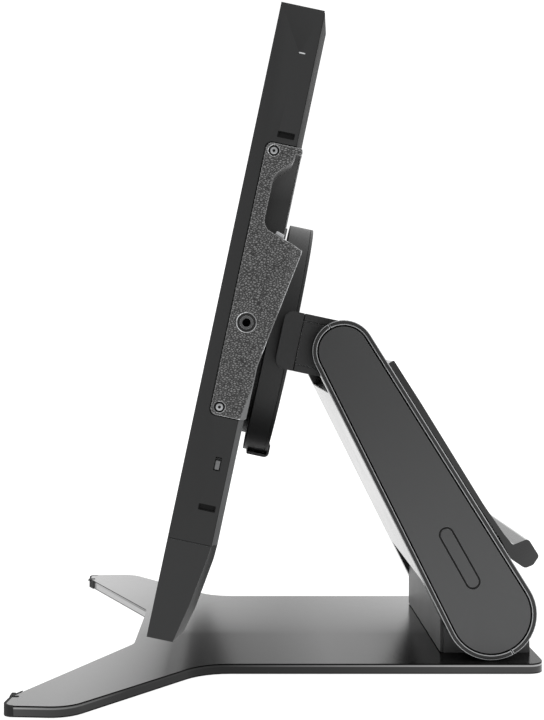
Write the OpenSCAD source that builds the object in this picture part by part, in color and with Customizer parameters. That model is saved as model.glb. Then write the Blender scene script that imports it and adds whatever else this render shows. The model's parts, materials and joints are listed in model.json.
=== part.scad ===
// Pen display on an adjustable stand: a 27 inch class drawing screen with side grips,
// a rotating disc mount, a tilting neck, a counterbalanced arm with a brake lever and
// a flat two-legged base plate. Millimetres. X is to the right, +Y to the rear, +Z up.
// The screen faces -Y. The origin is on the floor, under the middle of the footprint.

/* [Display] */
// Width of the display housing
display_w = 638; // [620:1:660]
// Height of the display housing
display_h = 380; // [370:1:390]
// Depth from the screen's front to the back plane
display_t = 29.5; // [29:0.5:31]
// Depth of the side faces, where the rear chamfer starts
side_t = 26; // [25:0.5:27]
// Width of the rear chamfer on each side
chamfer_w = 8; // [6:1:10]
// Height of the lower cover, below its split line
chin_h = 60; // [56:1:64]
// Wall thickness of the covers
cover_wall = 2.2; // [2:0.1:2.4]
// Lean of the screen from upright, in degrees
recline = 12; // [8:1:16]

/* [Grips] */
// How far a grip reaches in from the display's side
grip_w = 57; // [50:1:60]
// Height of a grip
grip_h = 163; // [160:1:170]
// Height of a grip's top edge above the middle of the screen
grip_top = 108.5; // [106:0.5:110]
// How far a grip's palm swell stands behind the screen's front
grip_reach = 42.6; // [40:0.2:44]
// Depth of the finger recess from the display's side
recess_depth = 22; // [18:1:24]
// Number of express keys in each grip's row
key_count = 4; // [4]
// Distance between the express keys
key_pitch = 11.5; // [11:0.1:12]

/* [Disc mount and neck] */
// Radius of the rotating disc on the display's back
disc_r = 95.5; // [92:0.5:95.5]
// Distance from the screen's front to the disc's front face
disc_front = 36.7; // [36:0.1:38]
// Distance from the screen's front to the disc's rear face
disc_rear = 56.3; // [55:0.1:56.3]
// Distance from the screen's front to the tilt axis
axis_gap = 93.8; // [92:0.2:96]
// Half the width of the neck
neck_half_w = 104; // [104:0.5:104.5]
// Half the height of the neck
neck_half_h = 22.3; // [21:0.1:22.3]

/* [Arm] */
// Distance between the arm's two pivots
arm_len = 225; // [220:1:230]
// Lean of the arm from upright, in degrees
arm_lean = 29.3; // [26:0.1:31]
// Radius of the arm's upper end
arm_r_top = 23.5; // [23.5:0.1:25]
// Radius of the arm's lower end
arm_r_low = 34.3; // [33.5:0.1:34.5]
// Half the width of the arm
arm_half_w = 119; // [119:0.5:121]
// Width of the rim around each side cover
rim_w = 3.6; // [3:0.1:4]

/* [Base] */
// Thickness of the base plate
plate_t = 7.6; // [6:0.1:8]
// Thickness of the rubber feet under the plate
foot_t = 0.6; // [0.5:0.1:1.5]
// Half the width of the plate behind its legs
plate_half_w = 125; // [122:1:128]
// Half the depth of the whole footprint
plate_half_d = 189.5; // [189.5:0.5:192]
// Half the distance across the leg tips
tip_half_w = 235; // [230:1:238]
// Distance from the middle of the plate to the front of the leg tips
tip_reach = 193; // [189:1:195]
// Thickness of the rubber strips on the leg tips
tip_strip = 1.8; // [1:0.1:2]

/* [Hidden] */

$fn = 64;

// Display, in its own frame: x across, y back from the screen's front, z up from the middle
half_w = display_w / 2;
half_h = display_h / 2;
split_z = -half_h + chin_h;
glass_t = 2.3;
frame_wall = 3.6;
cavity_w = half_w - frame_wall;
ledge_t = 1.7;
chassis_y = 10.8;
chassis_t = 1.5;
chassis_back = chassis_y + chassis_t;
skin_y = display_t - cover_wall;

// Grips
grip_x = half_w - grip_w;
grip_skin_x = half_w - cover_wall;
grip_low = grip_top - grip_h;
grip_front = 8.6;
grip_back = display_t + 1.1;
groove = 0.5;
recess_x = half_w - recess_depth;
recess_floor = 17;
recess_top = grip_top - 4.5;
recess_low = grip_top - 58.6;
liner_t = 1.5;
swell_x = half_w - 20;
swell_foot_x = half_w - 38;
key_x = swell_foot_x - 11;
key_w = 11;
key_h = 9.6;
key_top_z = 60.5;
key_gap = 0.3;

// Side details
screw_y = 13.8;
screw_top_z = grip_top - 4.5;
screw_low_z = grip_low + 5;
insert_y = 19;
insert_z = 2.2;
thread_r = 2.55;
insert_r = 4;
insert_rim_r = 5.7;
insert_len = 13;
slot_y = 18.9;
slot_half = [5.1, 1.9];
slot_zs = [114, -108.7];
switch_y = 19.7;
switch_z = -82.3;
button_x = 250;
button_y = 18.5;
button_r = 4;

// Back of the display
fan_x = 190;
fan_z = 78;
fan_r = 20;
bay = [75, 118, 146];
vesa = 50;
stem_r = 82;
nut_space_r = 40;

// Disc, neck and tilt axis
bore_gap = 0.05;
spindle_r = 15;
tilt_shaft_r = 8;
yoke_y = disc_rear + 0.4;
neck_y = yoke_y + 3.3;
neck_wall = 3;
lock_half_w = 20;

// Arm
foot_pivot_y = 150.6;
foot_pivot_z = 43.4;
tilt_y = foot_pivot_y - arm_len * sin(arm_lean);
tilt_z = foot_pivot_z + arm_len * cos(arm_lean);
shell_t = 2.8;
low_inner_x = 92.3;
top_inner_x = neck_half_w + 1;
rim_x = arm_half_w - 5;
plate_x = [107.2, 113.8];
mid_low_z = 42;
mid_top_z = arm_len - 29;
neck_space_r = neck_half_h + 1;
lower_shaft_r = 9;
clutch_r = 22;
lever_half_w = 105;
pin_r = 1.5;
pin_y = 28;
pin_z = 195.5;
ear_x = [60, 66];

// Base
plate_top = foot_t + plate_t;
pedestal_half_w = 91.5;
pedestal_y = [116.5, 185.5];
pedestal_r = 34;
notch_y = -121;

shell_grey = [0.2, 0.2, 0.21];
dark_grey = [0.13, 0.13, 0.14];
soft_black = [0.07, 0.07, 0.07];
satin_grey = [0.72, 0.73, 0.74];
steel = [0.6, 0.61, 0.63];
board_green = [0.1, 0.3, 0.18];

// ---- Helpers ----

// Points of the arc that rounds corner b between a and c
function corner_arc(a, b, c, r, n) =
    let (
        u = (a - b) / norm(a - b),
        w = (c - b) / norm(c - b),
        half = acos(u * w) / 2,
        mid = (u + w) / norm(u + w),
        o = b + mid * r / sin(half),
        p = b + u * r / tan(half) - o,
        q = b + w * r / tan(half) - o,
        a0 = atan2(p[1], p[0]),
        turn = atan2(p[0] * q[1] - p[1] * q[0], p * q)
    )
    [for (i = [0:n]) o + r * [cos(a0 + turn * i / n), sin(a0 + turn * i / n)]];

// An outline from [x, y, corner radius] points
function rounded(path, n = 6) =
    let (m = len(path), xy = [for (p = path) [p[0], p[1]]])
    [for (i = [0:m - 1])
        each (path[i][2] > 0
            ? corner_arc(xy[(i + m - 1) % m], xy[i], xy[(i + 1) % m], path[i][2], n)
            : [xy[i]])];

// A rectangle with round corners, from its lowest to its highest corner
function round_box(lo, hi, r) = rounded([
    [lo[0], lo[1], r], [hi[0], lo[1], r], [hi[0], hi[1], r], [lo[0], hi[1], r]
]);

module along_x(x0, x1) {
    translate([x0, 0, 0]) rotate([90, 0, 90]) linear_extrude(x1 - x0) children();
}

module along_y(y0, y1) {
    translate([0, y1, 0]) rotate([90, 0, 0]) linear_extrude(y1 - y0) children();
}

module along_z(z0, z1) {
    translate([0, 0, z0]) linear_extrude(z1 - z0) children();
}

module block(lo, hi) {
    translate(lo) cube(hi - lo);
}

module rod_x(x0, x1, y, z, r) {
    translate([x0, y, z]) rotate([0, 90, 0]) cylinder(h = x1 - x0, r = r);
}

module rod_y(y0, y1, x, z, r) {
    translate([x, y0, z]) rotate([-90, 0, 0]) cylinder(h = y1 - y0, r = r);
}

module both_sides() {
    children();
    mirror([1, 0, 0]) children();
}

// The display's frame: the tilt axis lies axis_gap behind the screen's front
module in_display() {
    translate([0, tilt_y, tilt_z]) rotate([-recline, 0, 0]) translate([0, -axis_gap, 0]) children();
}

// The arm's frame: the lower pivot is the origin and z runs up the arm
module in_arm() {
    translate([0, foot_pivot_y, foot_pivot_z]) rotate([arm_lean, 0, 0]) children();
}

// A coil of round wire around the z axis
module coil(r, wire, pitch, turns) {
    sides = 6;
    per_turn = 16;
    steps = turns * per_turn;
    points = [
        for (i = [0:steps])
            for (j = [0:sides - 1])
                let (a = 360 * i / per_turn, b = 360 * j / sides, rr = r + wire * cos(b))
                [rr * cos(a), rr * sin(a), pitch * i / per_turn + wire * sin(b)]
    ];
    walls = [
        for (i = [0:steps - 1])
            for (j = [0:sides - 1])
                let (k = (j + 1) % sides, a = i * sides, b = a + sides)
                each [[a + j, b + j, b + k], [a + j, b + k, a + k]]
    ];
    first = [for (j = [0:sides - 1]) j];
    last = [for (j = [0:sides - 1]) steps * sides + sides - 1 - j];
    polyhedron(points, concat(walls, [first], [last]), convexity = 10);
}

// ---- Display outlines ----

// Side outline of the lower cover; t thins it for the hollow inside
function chin_outline(t) =
    let (over = t > 0 ? 1 : 0, bottom = -half_h + t)
    rounded([
        [-over, split_z + over, 0], [display_t - t, split_z + over, 0],
        [display_t - 0.4 - t, split_z - 8, 30], [24.5 - t, split_z - 38.6, 40],
        [20.6 - t, split_z - 54, 3], [17 - t, bottom, 1.5], [-over, bottom, 0]
    ]);

// Outline of the lower cover's side face, inside its rear chamfer
function chin_face(t) =
    let (over = t > 0 ? 1 : 0, bottom = -half_h + 0.3 + t)
    [
        [-over, split_z + over], [side_t - t, split_z + over], [side_t - 0.5 - t, split_z - 6.5],
        [20.8 - t, split_z - 36], [17.4 - t, split_z - 48.5], [15.6 - t, bottom], [-over, bottom]
    ];

// Side outline of a grip's face; g is the groove around it
function grip_face(g) = rounded([
    [grip_front - g, grip_top + g, 4], [60, grip_top + g, 0],
    [60, grip_low - g, 0], [grip_front - g, grip_low - g, 4]
]);

// Side outline of a grip with its palm swell
function grip_outline() = rounded([
    [grip_front, grip_top, 4], [grip_back, grip_top, 1.5], [grip_back, recess_low + 7, 0],
    [grip_reach, recess_low + 0.7, 1], [grip_back, grip_low + 32.8, 30],
    [grip_back, grip_low, 1.5], [grip_front, grip_low, 4]
]);

// Side outline of the finger recess; g grows it for the liner's outside
function recess_outline(g) = rounded([
    [60, recess_top + g, 0], [27, recess_top + g, 0], [26 - g, recess_top - 5, 3.5],
    [recess_floor - g, recess_top - 14.5, 8], [recess_floor - g, recess_low + 9.2 - g, 7],
    [44, recess_low - g, 0], [60, recess_low - g, 0]
]);

// Outline of the display from above, inset by g
function plan_outline(g) =
    let (x = half_w - g)
    [
        [-x, -1], [x, -1], [x, side_t], [x - chamfer_w, display_t - g],
        [chamfer_w - x, display_t - g], [-x, side_t]
    ];

// The display's outside behind its side faces, above the lower cover
module back_solid() {
    intersection() {
        along_x(-half_w, half_w) polygon([
            [side_t, half_h], [display_t, half_h - 11], [display_t, split_z], [side_t, split_z]
        ]);
        along_z(-half_h, half_h) polygon([
            [-half_w, side_t], [chamfer_w - half_w, display_t],
            [half_w - chamfer_w, display_t], [half_w, side_t]
        ]);
    }
}

function key_z(i) = key_top_z - i * key_pitch;

// ---- Display parts ----

module cover_glass() {
    edge = 1.7;
    color(soft_black) in_display()
        along_y(0.15, glass_t)
            polygon(round_box([edge - half_w, edge - half_h], [half_w - edge, half_h - edge], 3));
}

module mid_frame() {
    glass_gap = 1.6;
    top_wall = 2.4;
    floor_back = 13;
    color(shell_grey) in_display() difference() {
        union() {
            block([-half_w, 0, split_z], [half_w, side_t, half_h]);
            block([cover_wall - half_w, glass_t, cover_wall - half_h],
                [half_w - cover_wall, floor_back, split_z]);
        }
        along_y(-1, glass_t) polygon(round_box([glass_gap - half_w, glass_gap - half_h],
            [half_w - glass_gap, half_h - glass_gap], 3));
        both_sides() {
            along_y(-1, side_t + 1) mitre_cut(half_w, half_h, -1);
            along_y(-1, side_t + 1) mitre_cut(half_w - cover_wall, cover_wall - half_h, 1);
        }
        block([10 - half_w, 1, 9.5 - half_h], [half_w - 10, side_t, half_h - 9.5]);
        block([-cavity_w, glass_t + ledge_t, 4.6 - half_h], [cavity_w, side_t + 1, half_h - top_wall]);
        both_sides() {
            along_x(grip_skin_x, half_w + 1) polygon(grip_face(groove));
            along_x(recess_x - liner_t, half_w + 1) polygon(recess_outline(liner_t));
            for (z = [screw_top_z, screw_low_z])
                rod_x(cavity_w - 1, half_w, screw_y, z, 1.1);
            rod_x(cavity_w - 1, half_w, insert_y, insert_z, insert_r);
            for (z = slot_zs)
                along_x(cavity_w - 1, half_w + 1) side_slot(0, z);
        }
        block([cavity_w - 1, 16.1, 162.6], [half_w + 1, 20.1, 163.6]);
        block([cavity_w - 1, switch_y - 1.9, switch_z - 4],
            [half_w + 1, switch_y + 1.9, switch_z + 4]);
        translate([button_x, button_y, half_h - top_wall - 1]) cylinder(h = 5, r = button_r + 0.15);
    }
}

// Hairline between two rails of the frame, inwards from a corner; up is 1 at the bottom
module mitre_cut(x, z, up) {
    long = 14;
    polygon([
        [x + 1, z - up - 0.05], [x + 1, z - up + 0.05],
        [x - long, z + up * long + 0.05], [x - long, z + up * long - 0.05]
    ]);
}

// Rounded outline of an accessory slot, grown by g, around height z
module side_slot(g, z) {
    polygon(round_box([slot_y - slot_half[0] - g, z - slot_half[1] - g],
        [slot_y + slot_half[0] + g, z + slot_half[1] + g], 0.6));
}

module lcd_panel() {
    color("midnightblue") in_display() block([-305, glass_t, -176], [305, glass_t + 1.6, 176]);
}

module backlight_unit() {
    color("gainsboro") in_display() block([-306, 4, -177], [306, 9, 177]);
}

module digitizer_board() {
    color(board_green) in_display() block([-304, 9, -175], [304, 10.2, 175]);
}

module chassis_plate() {
    post_r = 3;
    color(steel) in_display() difference() {
        union() {
            block([-cavity_w, chassis_y, 4.6 - half_h], [cavity_w, chassis_back, half_h - 2.4]);
            for (x = [-vesa, vesa], z = [-vesa, vesa])
                rod_y(chassis_back, skin_y, x, z, 8);
            for (x = [-270, -120, 120, 270], z = [-80, 15])
                rod_y(chassis_back, 16, x, z, post_r);
        }
        for (x = [-vesa, vesa], z = [-vesa, vesa])
            rod_y(14, skin_y + 1, x, z, 2);
    }
}

module main_board() {
    color(board_green) in_display() {
        block([110, 16, -90], [280, 17.6, 25]);
        for (i = [0:3])
            block([125 + i * 36, 17.6, -60], [149 + i * 36, 19.4, -36]);
        for (i = [0:5])
            block([124 + i * 24, 17.6, -14], [136 + i * 24, 20, 4]);
    }
}

module power_board() {
    color(board_green) in_display() {
        block([-280, 16, -90], [-110, 17.6, 25]);
        for (i = [0:4])
            rod_y(17.6, 26, -260 + i * 32, -65, 6);
        block([-250, 17.6, -30], [-210, 26, 5]);
        block([-190, 17.6, -30], [-150, 24, 5]);
    }
}

module heat_sinks() {
    fins = 8;
    color(satin_grey) in_display() both_sides() {
        block([118, chassis_back, fan_z - 18], [160, chassis_back + 2, fan_z + 18]);
        for (i = [0:fins - 1])
            block([118, chassis_back + 2, fan_z - 18 + i * 5], [160, 25, fan_z - 17 + i * 5]);
    }
}

module fan_housings() {
    half = 24;
    color(soft_black) in_display() both_sides() {
        difference() {
            block([fan_x - half, chassis_back, fan_z - half], [fan_x + half, 25, fan_z + half]);
            rod_y(chassis_back + 1.5, 26, fan_x, fan_z, fan_r + 1);
        }
        rod_y(chassis_back + 1.5, 24, fan_x, fan_z, 1.5);
    }
}

module fan_rotor(side) {
    blades = 9;
    color(dark_grey) in_display() translate([side * fan_x, 0, fan_z]) difference() {
        union() {
            rod_y(14.5, 23, 0, 0, 8);
            for (i = [0:blades - 1])
                rotate([0, i * 360 / blades, 0]) translate([7, 15.2, -0.5]) rotate([25, 0, 0])
                    cube([fan_r - 8, 6.5, 1.2]);
        }
        rod_y(14, 24, 0, 0, 1.5 + bore_gap);
    }
}

module fan_rotor_right() { fan_rotor(1); }
module fan_rotor_left() { fan_rotor(-1); }

module key_boards() {
    switch_top = 25;
    color(board_green) in_display() both_sides() {
        block([key_x - 10, 21, key_z(key_count - 1) - 8], [key_x + 8, 22.4, key_z(0) + 8]);
        for (i = [0:key_count - 1])
            rod_y(22.4, switch_top, key_x, key_z(i), 2.5);
    }
}

module rear_cover() {
    slots = 14;
    color(shell_grey) in_display() difference() {
        back_solid();
        intersection() {
            along_x(-half_w, half_w) polygon([
                [side_t - 1, half_h - 2.4], [side_t, half_h - 2.4], [skin_y, half_h - 11.5],
                [skin_y, split_z - 1], [side_t - 1, split_z - 1]
            ]);
            along_z(-half_h, half_h) polygon([
                [2.4 - half_w, side_t - 1], [2.4 - half_w, side_t], [9 - half_w, skin_y],
                [half_w - 9, skin_y], [half_w - 2.4, side_t], [half_w - 2.4, side_t - 1]
            ]);
        }
        along_y(side_t - 0.1, side_t + 0.5) difference() {
            square([display_w + 1, display_h + 1], center = true);
            square([display_w - 1.6, display_h - 1.6], center = true);
        }
        rod_y(skin_y - 1, display_t + 1, 0, 0, stem_r + 1);
        block([-bay[0], skin_y - 1, bay[1]], [bay[0], display_t + 1, bay[2]]);
        both_sides() {
            along_x(grip_skin_x, half_w + 1) polygon(grip_face(groove));
            along_x(recess_x - liner_t, half_w + 1) polygon(recess_outline(liner_t));
            for (i = [0:key_count - 1])
                key_window(i, skin_y - 1, display_t + 1);
            for (i = [0:slots - 1], z = [fan_z - 18, fan_z + 40])
                translate([fan_x - 40 + i * 6, skin_y - 1, z]) cube([2.4, 5, 34]);
        }
    }
}

// The opening that express key i moves in
module key_window(i, y0, y1) {
    block([key_x - key_w / 2 - key_gap, y0, key_z(i) - key_h / 2 - key_gap],
        [key_x + key_w / 2 + key_gap, y1, key_z(i) + key_h / 2 + key_gap]);
}

module lower_cover() {
    color(shell_grey) in_display() difference() {
        hull() {
            along_x(chamfer_w - half_w, half_w - chamfer_w) polygon(chin_outline(0));
            along_x(-half_w, half_w) polygon(chin_face(0));
        }
        hull() {
            along_x(chamfer_w + 1 - half_w, half_w - chamfer_w - 1) polygon(chin_outline(cover_wall));
            along_x(cover_wall - half_w, half_w - cover_wall) polygon(chin_face(cover_wall));
        }
        along_z(split_z - 0.5, split_z + 1) difference() {
            square([display_w + 1, 2 * display_t + 2], center = true);
            polygon(plan_outline(0.8));
        }
        block([1.6 - half_w, -1, 1.6 - half_h], [half_w - 1.6, glass_t, split_z + 1]);
        block([cover_wall - half_w, 1, cover_wall - half_h], [half_w - cover_wall, 13, split_z + 1]);
    }
}

// Places its child at each connector of the port bay
module at_ports() {
    for (i = [0:4])
        translate([-52 + i * 26, 0, (bay[1] + bay[2]) / 2]) children();
}

module port_block() {
    rim = 3;
    bay_floor = 22;
    color(soft_black) in_display() difference() {
        block([-bay[0], chassis_back, bay[1]], [bay[0], display_t, bay[2]]);
        block([rim - bay[0], bay_floor, bay[1] + rim], [bay[0] - rim, display_t + 1, bay[2] - rim]);
        at_ports() block([-6, 14, -2.8], [6, bay_floor + 1, 2.8]);
    }
}

module port_shells() {
    color(steel) in_display() at_ports() {
        difference() {
            block([-6, 14, -2.8], [6, 22.5, 2.8]);
            block([-5.5, 15, -2.3], [5.5, 23, 2.3]);
        }
        block([-4, 15, -0.5], [4, 21, 0.5]);
    }
}

module grip_body() {
    joint_z = recess_low - 4;
    difference() {
        intersection() {
            along_x(grip_x, half_w) polygon(grip_outline());
            along_z(grip_low, grip_top) polygon([
                [grip_x, 0], [half_w, 0], [half_w, 36], [half_w - 6, grip_reach],
                [swell_x, grip_reach], [swell_foot_x, grip_back], [grip_x, grip_back]
            ]);
        }
        intersection() {
            back_solid();
            block([0, 0, grip_low - 1], [grip_skin_x, display_t + 1, grip_top + 1]);
        }
        block([grip_x - 1, 0, grip_low - 1], [grip_skin_x, side_t, grip_top + 1]);
        hull() {
            along_z(grip_low - 0.2, grip_low - 0.1)
                polygon([[half_w + 1, 26.6], [half_w - 7, grip_back + 0.2], [half_w + 1, 36]]);
            along_z(grip_low + 42, grip_low + 42.1)
                polygon([[half_w + 1, 33.4], [half_w - 0.1, 34.4], [half_w + 1, 36]]);
        }
        along_x(recess_x - liner_t, half_w + 1) polygon(recess_outline(0));
        intersection() {
            along_x(recess_x - liner_t, half_w - 0.2) polygon(recess_outline(liner_t));
            block([grip_x, 0, grip_low], [half_w, display_t - 0.1, grip_top]);
        }
        intersection() {
            along_x(swell_foot_x, half_w - 5) polygon([
                [display_t, grip_low + 48], [display_t, recess_low - 5],
                [grip_reach - 3.4, recess_low - 5], [grip_back + 1, grip_low + 48]
            ]);
            along_z(grip_low, grip_top) polygon([
                [swell_foot_x + 4.3, 0], [half_w - 5, 0], [half_w - 5, 34.8],
                [half_w - 7.4, grip_reach - 2.4], [swell_x + 0.7, grip_reach - 2.4],
                [swell_foot_x + 4.3, grip_back]
            ]);
        }
        block([grip_x - 1, 0, joint_z - 0.02], [half_w + 1, 60, joint_z + 0.02]);
        for (i = [0:key_count - 1])
            key_window(i, display_t - 1, grip_back + 1);
        for (z = [screw_top_z, screw_low_z]) {
            rod_x(grip_skin_x - 1, half_w + 1, screw_y, z, 1.1);
            rod_x(half_w - 1.6, half_w + 1, screw_y, z, 3.2);
        }
        rod_x(grip_skin_x - 1, half_w + 1, insert_y, insert_z, insert_r);
        rod_x(half_w - 0.8, half_w + 1, insert_y, insert_z, insert_rim_r);
    }
}

module grip_right() { color(dark_grey) in_display() grip_body(); }
module grip_left() { color(dark_grey) in_display() mirror([1, 0, 0]) grip_body(); }

module recess_liners() {
    color(soft_black) in_display() both_sides() difference() {
        along_x(recess_x - liner_t, half_w - 0.2) polygon(recess_outline(liner_t));
        along_x(recess_x, half_w) polygon(recess_outline(0));
        block([recess_x - 5, display_t - 0.1, recess_low - 20], [half_w, 70, recess_top + 20]);
    }
}

module grip_screws() {
    head_x = half_w - 1.6;
    color(steel) in_display() both_sides()
        for (z = [screw_top_z, screw_low_z]) difference() {
            union() {
                rod_x(head_x, half_w - 0.6, screw_y, z, 2.1);
                rod_x(cavity_w - 4, head_x, screw_y, z, 1.1);
            }
            translate([half_w - 1.4, screw_y, z]) rotate([0, 90, 0])
                cylinder(h = 2, r = 1, $fn = 6);
        }
}

module accessory_inserts() {
    color(steel) in_display() both_sides() difference() {
        union() {
            rod_x(half_w - insert_len, half_w, insert_y, insert_z, insert_r);
            rod_x(half_w - 0.8, half_w - 0.2, insert_y, insert_z, insert_rim_r);
        }
        rod_x(half_w - insert_len + 1, half_w + 1, insert_y, insert_z, thread_r);
    }
}

module side_sockets() {
    color(soft_black) in_display() both_sides()
        for (z = slot_zs) difference() {
            union() {
                along_x(cavity_w - 5, cavity_w) side_slot(1.2, z);
                along_x(cavity_w, half_w - 0.6) side_slot(0, z);
            }
            along_x(half_w - 1.8, half_w) side_slot(-0.5, z);
        }
}

module status_light() {
    color("white") in_display() block([cavity_w - 1, 16.1, 162.6], [half_w - 0.1, 20.1, 163.6]);
}

module power_button() {
    color(dark_grey) in_display() translate([button_x, button_y, 0]) {
        translate([0, 0, half_h - 3.5]) cylinder(h = 3.3, r = button_r);
        translate([0, 0, half_h - 4.5]) cylinder(h = 1, r = button_r + 1);
    }
}

module touch_switch() {
    color(steel) in_display() {
        block([cavity_w - 0.4, switch_y - 1.4, switch_z - 3.6],
            [half_w - 0.5, switch_y + 1.4, switch_z + 2]);
        block([cavity_w - 1.8, switch_y - 2.4, switch_z - 5],
            [cavity_w - 0.4, switch_y + 2.4, switch_z + 3.2]);
    }
}

module display_feet() {
    color(soft_black) in_display() both_sides() difference() {
        along_x(160, 220) polygon(rounded([
            [22, split_z - 39, 0], [25.4, split_z - 39, 1], [24.2, split_z - 45.5, 1],
            [22, split_z - 45.5, 0]
        ]));
        along_x(159, 221) polygon(chin_outline(0));
    }
}

module express_key(side, i) {
    flange_t = 1.1;
    flange_back = skin_y - 0.1;
    color(satin_grey) in_display() translate([side * key_x, 0, key_z(i - 1)]) {
        block([-key_w / 2, flange_back, -key_h / 2], [key_w / 2, 31.7, key_h / 2]);
        block([-key_w / 2 - 1, flange_back - flange_t, -key_h / 2 - 0.7],
            [key_w / 2 + 1, flange_back, key_h / 2 + 0.7]);
    }
}

module key_right_1() { express_key(1, 1); }
module key_right_2() { express_key(1, 2); }
module key_right_3() { express_key(1, 3); }
module key_right_4() { express_key(1, 4); }
module key_left_1() { express_key(-1, 1); }
module key_left_2() { express_key(-1, 2); }
module key_left_3() { express_key(-1, 3); }
module key_left_4() { express_key(-1, 4); }

// ---- Disc mount ----

disc_floor = disc_front + 3.3;
disc_cover_t = 2.5;

module mount_disc() {
    color(dark_grey) in_display() difference() {
        union() {
            rod_y(disc_front, disc_floor, 0, 0, disc_r);
            difference() {
                rod_y(disc_floor, disc_rear - disc_cover_t, 0, 0, disc_r);
                rod_y(disc_floor, disc_rear, 0, 0, disc_r - 3.5);
            }
            rod_y(disc_floor, disc_rear, 0, 0, 24);
            rod_y(skin_y, disc_front, 0, 0, stem_r);
        }
        rod_y(skin_y - 1, disc_front, 0, 0, nut_space_r);
        rod_y(skin_y, disc_rear + 1, 0, 0, spindle_r);
        for (x = [-vesa, vesa], z = [-vesa, vesa])
            rod_y(skin_y - 1, disc_floor + 1, x, z, 2);
        block([-4.5, 45, -disc_r - 1], [13, 51, -disc_r + 6]);
    }
}

module disc_cover() {
    color(dark_grey) in_display() difference() {
        rod_y(disc_rear - disc_cover_t, disc_rear, 0, 0, disc_r);
        rod_y(disc_rear - 5, disc_rear + 1, 0, 0, 24);
    }
}

module disc_screws() {
    color(steel) in_display() for (x = [-vesa, vesa], z = [-vesa, vesa]) difference() {
        union() {
            rod_y(disc_floor, disc_floor + 3, x, z, 4);
            rod_y(16, disc_floor, x, z, 2);
        }
        translate([x, disc_floor + 1, z]) rotate([-90, 0, 0]) cylinder(h = 3, r = 2, $fn = 6);
    }
}

module rotation_lock() {
    lip_z = -disc_r - 2.4;
    lip_t = 2.2;
    color(soft_black) in_display() {
        along_x(-lock_half_w, lock_half_w) polygon(rounded([
            [40, lip_z, 1], [58.4, lip_z, 4], [58.4, lip_z + 11, 1], [yoke_y, lip_z + 11, 0],
            [yoke_y, lip_z + lip_t, 0], [40, lip_z + lip_t, 1]
        ]));
        block([-4, 46, lip_z + lip_t], [4, 50, -disc_r + 5]);
    }
}

// ---- Neck ----

module yoke_plate() {
    end_y = 45.5;
    inner_x = disc_r + 0.8;
    color(soft_black) in_display() intersection() {
        along_z(-neck_half_h, neck_half_h) polygon([
            [-neck_half_w, end_y], [-inner_x, end_y], [-inner_x, yoke_y], [inner_x, yoke_y],
            [inner_x, end_y], [neck_half_w, end_y], [neck_half_w, neck_y], [-neck_half_w, neck_y]
        ]);
        along_x(-neck_half_w, neck_half_w) polygon(rounded([
            [end_y, -neck_half_h, 7], [neck_y, -neck_half_h, 0],
            [neck_y, neck_half_h, 0], [end_y, neck_half_h, 7]
        ]));
    }
}

module swivel_spindle() {
    color(steel) in_display() rod_y(disc_front - 4, yoke_y, 0, 0, spindle_r - bore_gap);
}

module spindle_nut() {
    color(steel) in_display() difference() {
        translate([0, disc_front - 6, 0]) rotate([-90, 0, 0]) cylinder(h = 5.7, r = 24, $fn = 6);
        rod_y(disc_front - 4, disc_front, 0, 0, spindle_r - bore_gap);
    }
}

// Side outline of the neck; t thins it for the hollow inside
function neck_outline(t) =
    let (r = neck_half_h - t, n = 24)
    concat(
        [[neck_y + t, r], [neck_y + t, -r]],
        [for (i = [0:n]) [axis_gap + r * sin(180 * i / n), -r * cos(180 * i / n)]]
    );

function neck_panel(g) = round_box([neck_y + 0.8 - g, -16.8 - g], [axis_gap - 9 + g, 16.6 + g], 1);

module neck_shell() {
    color(dark_grey) in_display() difference() {
        along_x(-neck_half_w, neck_half_w) polygon(neck_outline(0));
        along_x(4 - neck_half_w, neck_half_w - 4) polygon(neck_outline(neck_wall));
        rod_x(-neck_half_w - 1, neck_half_w + 1, axis_gap, 0, tilt_shaft_r + bore_gap);
        both_sides() along_x(neck_half_w - 2, neck_half_w + 1) polygon(neck_panel(0.4));
        difference() {
            block([-neck_half_w - 1, neck_y - 1, -40], [neck_half_w + 1, neck_y + 0.8, 40]);
            block([1 - neck_half_w, neck_y - 2, 1 - neck_half_h],
                [neck_half_w - 1, neck_y + 2, neck_half_h - 1]);
        }
    }
}

module neck_side_covers() {
    color(shell_grey) in_display() both_sides()
        along_x(neck_half_w - 2, neck_half_w - 0.3) polygon(neck_panel(0));
}

module tilt_friction_discs() {
    discs = 6;
    color(steel) in_display() both_sides() for (i = [0:discs - 1]) difference() {
        rod_x(70 + i * 4, 73 + i * 4, axis_gap, 0, 17);
        rod_x(60, 100, axis_gap, 0, tilt_shaft_r + bore_gap);
    }
}

// ---- Arm ----

// Outline of the arm in its own frame, grown by g: two arcs and their tangents
function arm_outline(g) =
    let (lo = arm_r_low + g, hi = arm_r_top + g, a = asin((lo - hi) / arm_len), n = 24)
    concat(
        [for (i = [0:n]) let (b = a + (180 - 2 * a) * i / n) [hi * cos(b), arm_len + hi * sin(b)]],
        [for (i = [0:n]) let (b = 180 - a + (180 + 2 * a) * i / n) [lo * cos(b), lo * sin(b)]]
    );

module tilt_shaft() {
    color(steel) in_arm() rod_x(-plate_x[1], plate_x[1], 0, arm_len, tilt_shaft_r);
}

module arm_plates() {
    color(steel) in_arm() both_sides() difference() {
        along_x(plate_x[0], plate_x[1]) polygon(arm_outline(-rim_w));
        rod_x(plate_x[0] - 1, plate_x[1] + 1, 0, arm_len, tilt_shaft_r);
        rod_x(plate_x[0] - 1, plate_x[1] + 1, 0, 0, lower_shaft_r + bore_gap);
        for (z = [95, 145])
            rod_x(plate_x[0] - 1, plate_x[1] + 1, 0, z, 12);
    }
}

module arm_cross_bars() {
    color(steel) in_arm() for (z = [70, 120, 170])
        rod_x(-plate_x[0], plate_x[0], 0, z, 6);
}

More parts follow.
